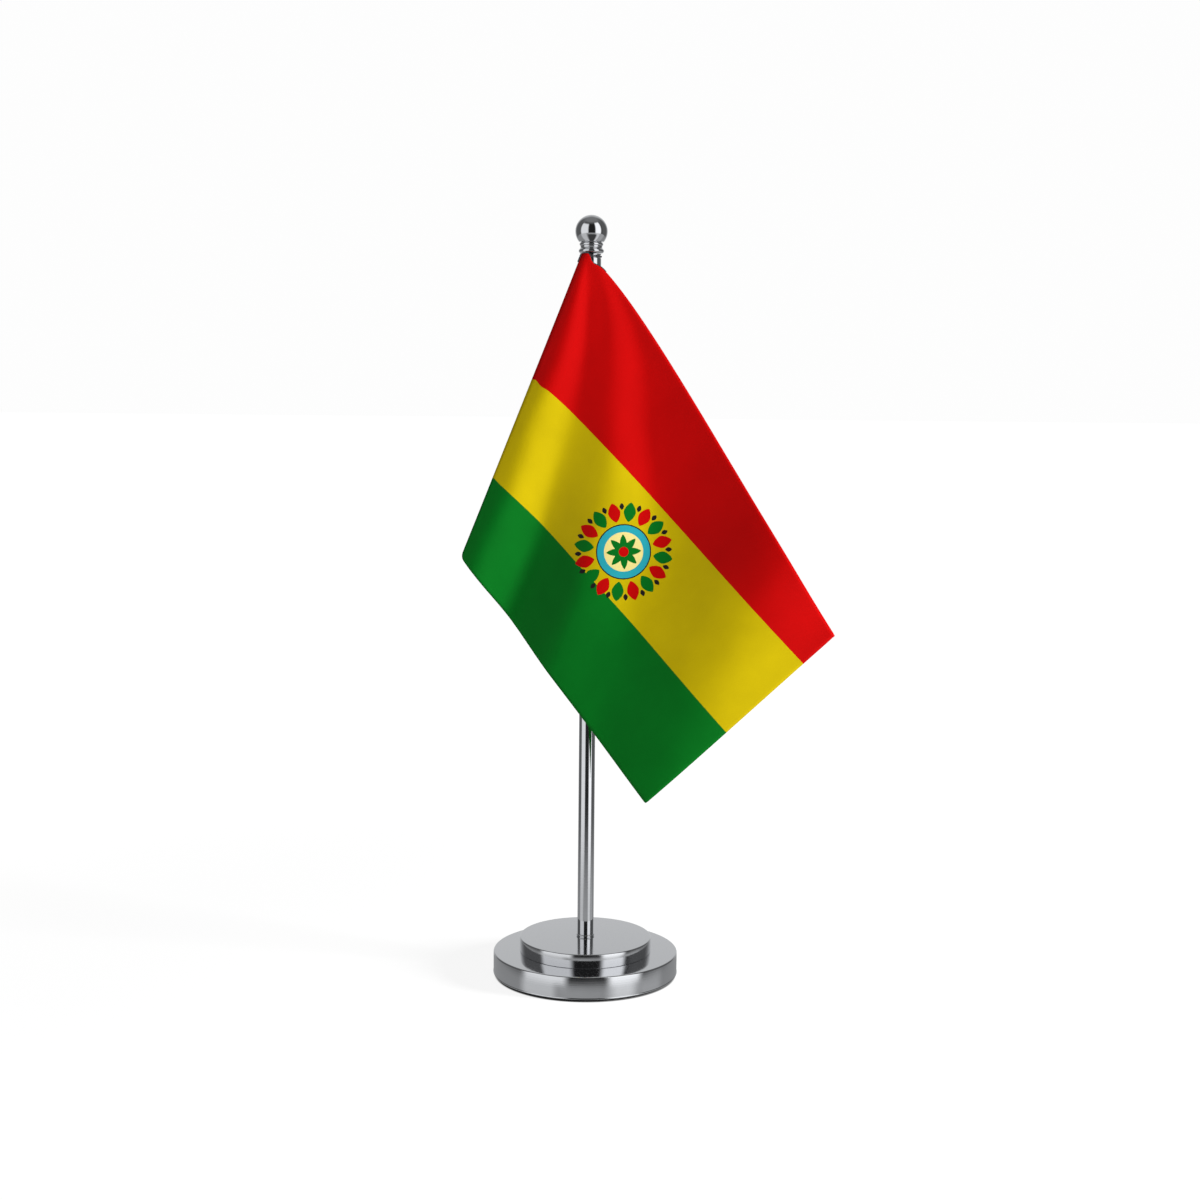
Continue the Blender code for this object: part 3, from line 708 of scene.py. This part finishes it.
# Rings of leaves: how many, turned by what share of a leaf, distance, half length and half width.
PETALS, BUDS, STAR = (16, 0.0, 17.6, 4.3, 2.7), (16, 0.5, 20.0, 1.5, 1.0), (8, 0.5, 3.6, 4.1, 1.6)
LEAF_LENGTHWISE, LEAF_CROSSWISE = 1.6, 1.3          # powers that shape a leaf
DISCS = ((12.2, DARK), (11.7, TEAL), (8.7, CREAM))
BOSS = 2.2


def badge_place(place):
    """Across and up from the badge's middle, in metres, as the flag hangs."""
    away = place - CORNER - BADGE_CENTRE
    across = away.x * math.cos(BADGE_UP) - away.z * math.sin(BADGE_UP)
    up = away.x * math.sin(BADGE_UP) + away.z * math.cos(BADGE_UP)
    return across, up


def stripes(tree, cut):
    height = node(tree, "ShaderNodeSeparateXYZ", {0: cut}).outputs[1]
    colour = mix_colour(tree, maths(tree, "GREATER_THAN", height, 2 * STRIPE), YELLOW, RED)
    return mix_colour(tree, maths(tree, "LESS_THAN", height, STRIPE), colour, GREEN)


def leaves(tree, reach, turn, count, shift, distance, length, width):
    """A ring of leaves: the number of the leaf nearest to a point, and 1 where the point is inside it."""
    share = maths(tree, "ADD", maths(tree, "MULTIPLY", turn, float(count)), count + shift)
    number = maths(tree, "FLOOR", share)
    off_middle = maths(tree, "SUBTRACT", maths(tree, "SUBTRACT", share, number), 0.5)
    angle = maths(tree, "MULTIPLY", off_middle, math.tau / count)
    out = maths(tree, "SUBTRACT", maths(tree, "MULTIPLY", reach, maths(tree, "COSINE", angle)), distance)
    across = maths(tree, "MULTIPLY", reach, maths(tree, "SINE", angle))
    size = 0.0
    for value, half, power in ((out, length, LEAF_LENGTHWISE), (across, width, LEAF_CROSSWISE)):
        part = maths(tree, "ABSOLUTE", maths(tree, "DIVIDE", value, half))
        size = maths(tree, "ADD", size, maths(tree, "POWER", part, power))
    return number, maths(tree, "LESS_THAN", size, 1.0)


def badge(tree, colour):
    """Sixteen leaves in two colours with buds between them, round a disc with an eight-pointed star."""
    shown = node(tree, "ShaderNodeUVMap", uv_map="badge").outputs[0]
    x, y, _ = node(tree, "ShaderNodeSeparateXYZ", {0: shown}).outputs
    x, y = maths(tree, "DIVIDE", x, BADGE_UNIT), maths(tree, "DIVIDE", y, BADGE_UNIT)
    reach = reach_from_middle(tree, x, y)
    turn = maths(tree, "DIVIDE", maths(tree, "ARCTAN2", y, x), math.tau)
    number, petals = leaves(tree, reach, turn, *PETALS)
    petal_colour = mix_colour(tree, maths(tree, "MODULO", number, 2.0), RED, GREEN)
    colour = mix_colour(tree, petals, colour, petal_colour)
    colour = mix_colour(tree, leaves(tree, reach, turn, *BUDS)[1], colour, DARK)
    for radius, disc in DISCS:
        colour = mix_colour(tree, maths(tree, "LESS_THAN", reach, radius), colour, disc)
    colour = mix_colour(tree, leaves(tree, reach, turn, *STAR)[1], colour, GREEN)
    return mix_colour(tree, maths(tree, "LESS_THAN", reach, BOSS), colour, RED)


def satin():
    """Printed satin: the stripes and the badge, with the weave's fine ribs and a soft gleam."""
    finish = bpy.data.materials.new("printed_satin")
    tree, shader = nodes_of(finish)
    cut = node(tree, "ShaderNodeUVMap", uv_map="cut").outputs[0]
    colour = badge(tree, stripes(tree, cut))
    warp = node(tree, "ShaderNodeMapping", {"Vector": cut, "Scale": (900.0, 9000.0, 1.0)}).outputs[0]
    slub = speckle(tree, warp, 1.0, 2.0)
    tone = ramp(tree, speckle(tree, cut, 60.0, 5.0), 0.25, 0.75, 0.94, 1.05, "LINEAR")
    thread = ramp(tree, slub, 0.25, 0.75, 0.93, 1.05, "LINEAR")
    shade = grey(tree, maths(tree, "MULTIPLY", tone, thread))
    tree.links.new(mix_colour(tree, 1.0, colour, shade, "MULTIPLY"), shader.inputs["Base Color"])
    shader.inputs["Roughness"].default_value = 0.45
    shader.inputs["Metallic"].default_value = 0.25
    shader.inputs["Specular IOR Level"].default_value = 0.06
    bump = node(tree, "ShaderNodeBump", {"Height": slub, "Strength": 0.35, "Distance": 0.03 * MM})
    tree.links.new(bump.outputs[0], shader.inputs["Normal"])
    return finish


SATIN = satin()
LINING = plain("lining_cloth", (0.80, 0.79, 0.74), 0.85, 0.05 * MM, 3000.0, 0.0, 0.06)

# --------------------------------------------------------------------------------------------------
# The flag's layers

FACE_OFFSET, FACE_CLOTH, LINING_CLOTH = 0.18 * MM, 0.12 * MM, 0.08 * MM
RIM, RIM_SHARE = 1.0 * MM, 0.4      # at the edges the layers close up to this share of their offset


def face(name, offset, thickness, finish, slot, solid):
    """One layer of the flag, offset from the middle of the cloth towards the front."""
    shape = bmesh.new()
    bmesh.ops.create_grid(shape, x_segments=COLUMNS, y_segments=ROWS, size=0.5)
    marks = {}
    for point in shape.verts:
        marks[point] = (point.co.x + 0.5, round((0.5 - point.co.y) * ROWS))
        point.co = cloth(*marks[point])
    cut_map = shape.loops.layers.uv.new("cut")
    badge_map = shape.loops.layers.uv.new("badge")
    for panel in shape.faces:
        for loop in panel.loops:
            loop[cut_map].uv = flat_place(*marks[loop.vert])
            loop[badge_map].uv = badge_place(loop.vert.co)
    shape.normal_update()
    moves = []
    for point in shape.verts:
        u, v = flat_place(*marks[point])
        edge = min(u, FLY - u, v, HOIST - v)
        puff = math.sqrt(max(0.0, 1 - (1 - min(1.0, edge / RIM)) ** 2))
        moves.append(point.normal * (offset * (RIM_SHARE + (1 - RIM_SHARE) * puff)))
    for point, move in zip(shape.verts, moves):
        point.co += move
    made = finished(name, shape, finish, "flag", slot, solid, sharp=180.0)
    thick = made.modifiers.new("thickness", "SOLIDIFY")
    thick.thickness = thickness
    thick.offset = 0.0
    return made


front = face("flag_face", FACE_OFFSET, FACE_CLOTH, SATIN, "satin", "flag_front")
back = face("flag_reverse", -FACE_OFFSET, FACE_CLOTH, SATIN, "satin", "flag_back")
inner = face("flag_interlining", 0.0, LINING_CLOTH, LINING, "lining", "flag_lining")

# --------------------------------------------------------------------------------------------------
# Cords

LAY = 1.5 * MM                      # length of one full twist
LOOP_STRAND, CORNER_STRAND = 0.17 * MM, 0.16 * MM
LOOP_RADIUS, LOOP_NOSE, NOSE_WIDTH = 4.15 * MM, 5.35 * MM, math.radians(17.0)
DOWN_HOIST, ALONG_FOLD = 0.022, 0.058       # how far the corner cord runs, as shares of the front and the fly


def strand_line(points, closed, strand, start):
    """The places of one of two strands that wind round the line through the points."""
    count = len(points)
    steps = [(points[(i + 1) % count] - points[i]).length for i in range(count)]
    total = sum(steps if closed else steps[:-1])
    turns = max(1, round(total / LAY))
    run = 0.0
    line = []
    for i, point in enumerate(points):
        ahead = points[(i + 1) % count] if closed or i + 1 < count else point
        astern = points[i - 1] if closed or i else point
        way = (ahead - astern).normalized()
        first = way.cross(Vector((0.0, 0.3, 1.0))).normalized()
        second = way.cross(first).normalized()
        turn = math.tau * (turns * run / total + start)
        line.append(point + (first * math.cos(turn) + second * math.sin(turn)) * strand * 0.95)
        run += steps[i]
    return line


def twisted(name, points, closed, strand, body, solid):
    """A two-strand cord along a smooth line through the points."""
    data = bpy.data.curves.new(name, "CURVE")
    data.dimensions = "3D"
    data.bevel_depth = strand
    data.bevel_resolution = 2
    data.use_fill_caps = not closed
    for start in (0.0, 0.5):
        line = strand_line(points, closed, strand, start)
        spline = data.splines.new("POLY")
        spline.points.add(len(line) - 1)
        for point, place in zip(spline.points, line):
            point.co = (*place, 1.0)
        spline.use_cyclic_u = closed
    holder = placed(name + "_line", data)
    bpy.context.view_layer.update()
    mesh = bpy.data.meshes.new_from_object(holder.evaluated_get(bpy.context.evaluated_depsgraph_get()))
    bpy.data.objects.remove(holder)
    shape = bmesh.new()
    shape.from_mesh(mesh)
    bpy.data.meshes.remove(mesh)
    bmesh.ops.remove_doubles(shape, verts=shape.verts[:], dist=MERGE)
    bmesh.ops.recalc_face_normals(shape, faces=shape.faces[:])
    finished(name, shape, CORD, body, "cord", solid, sharp=50.0)


def hanging_loop():
    """The loop in the groove of the pole's head, with a nose that reaches the flag's corner."""
    height, steps = middle_of("hanging_loop"), 300
    towards_flag = math.atan2(CORNER.y, CORNER.x)
    ring = []
    for i in range(steps):
        turn = math.tau * (i / steps - 0.5)
        radius = LOOP_RADIUS + (LOOP_NOSE - LOOP_RADIUS) * bell(turn, 0.0, NOSE_WIDTH)
        way = towards_flag + turn
        ring.append(Vector((radius * math.cos(way), radius * math.sin(way), height)))
    twisted("hanging_loop_cord", ring, True, LOOP_STRAND, "loop", "hanging_loop")


def corner_cord():
    """The fine cord bound over the flag's corner, up the hoist edge and along the fold."""
    proud, aside, steps = Vector((0.0, -0.15 * MM, 0.0)), Vector((-0.2 * MM, 0.0, 0.0)), 24
    up_hoist = []
    for i in range(steps):
        down = DOWN_HOIST * (1 - i / steps)
        up_hoist.append(cloth(0.0, ROWS - FRONT_ROWS * (1 - down)) + proud + aside)
    over = proud + OUTWARDS * 0.25 * MM
    out_fold = [cloth(ALONG_FOLD * i / (2 * steps), FOLD_ROW) + over for i in range(1, 2 * steps + 1)]
    twisted("flag_corner_cord", up_hoist + out_fold, False, CORNER_STRAND, "flag", "corner_cord")


hanging_loop()
corner_cord()
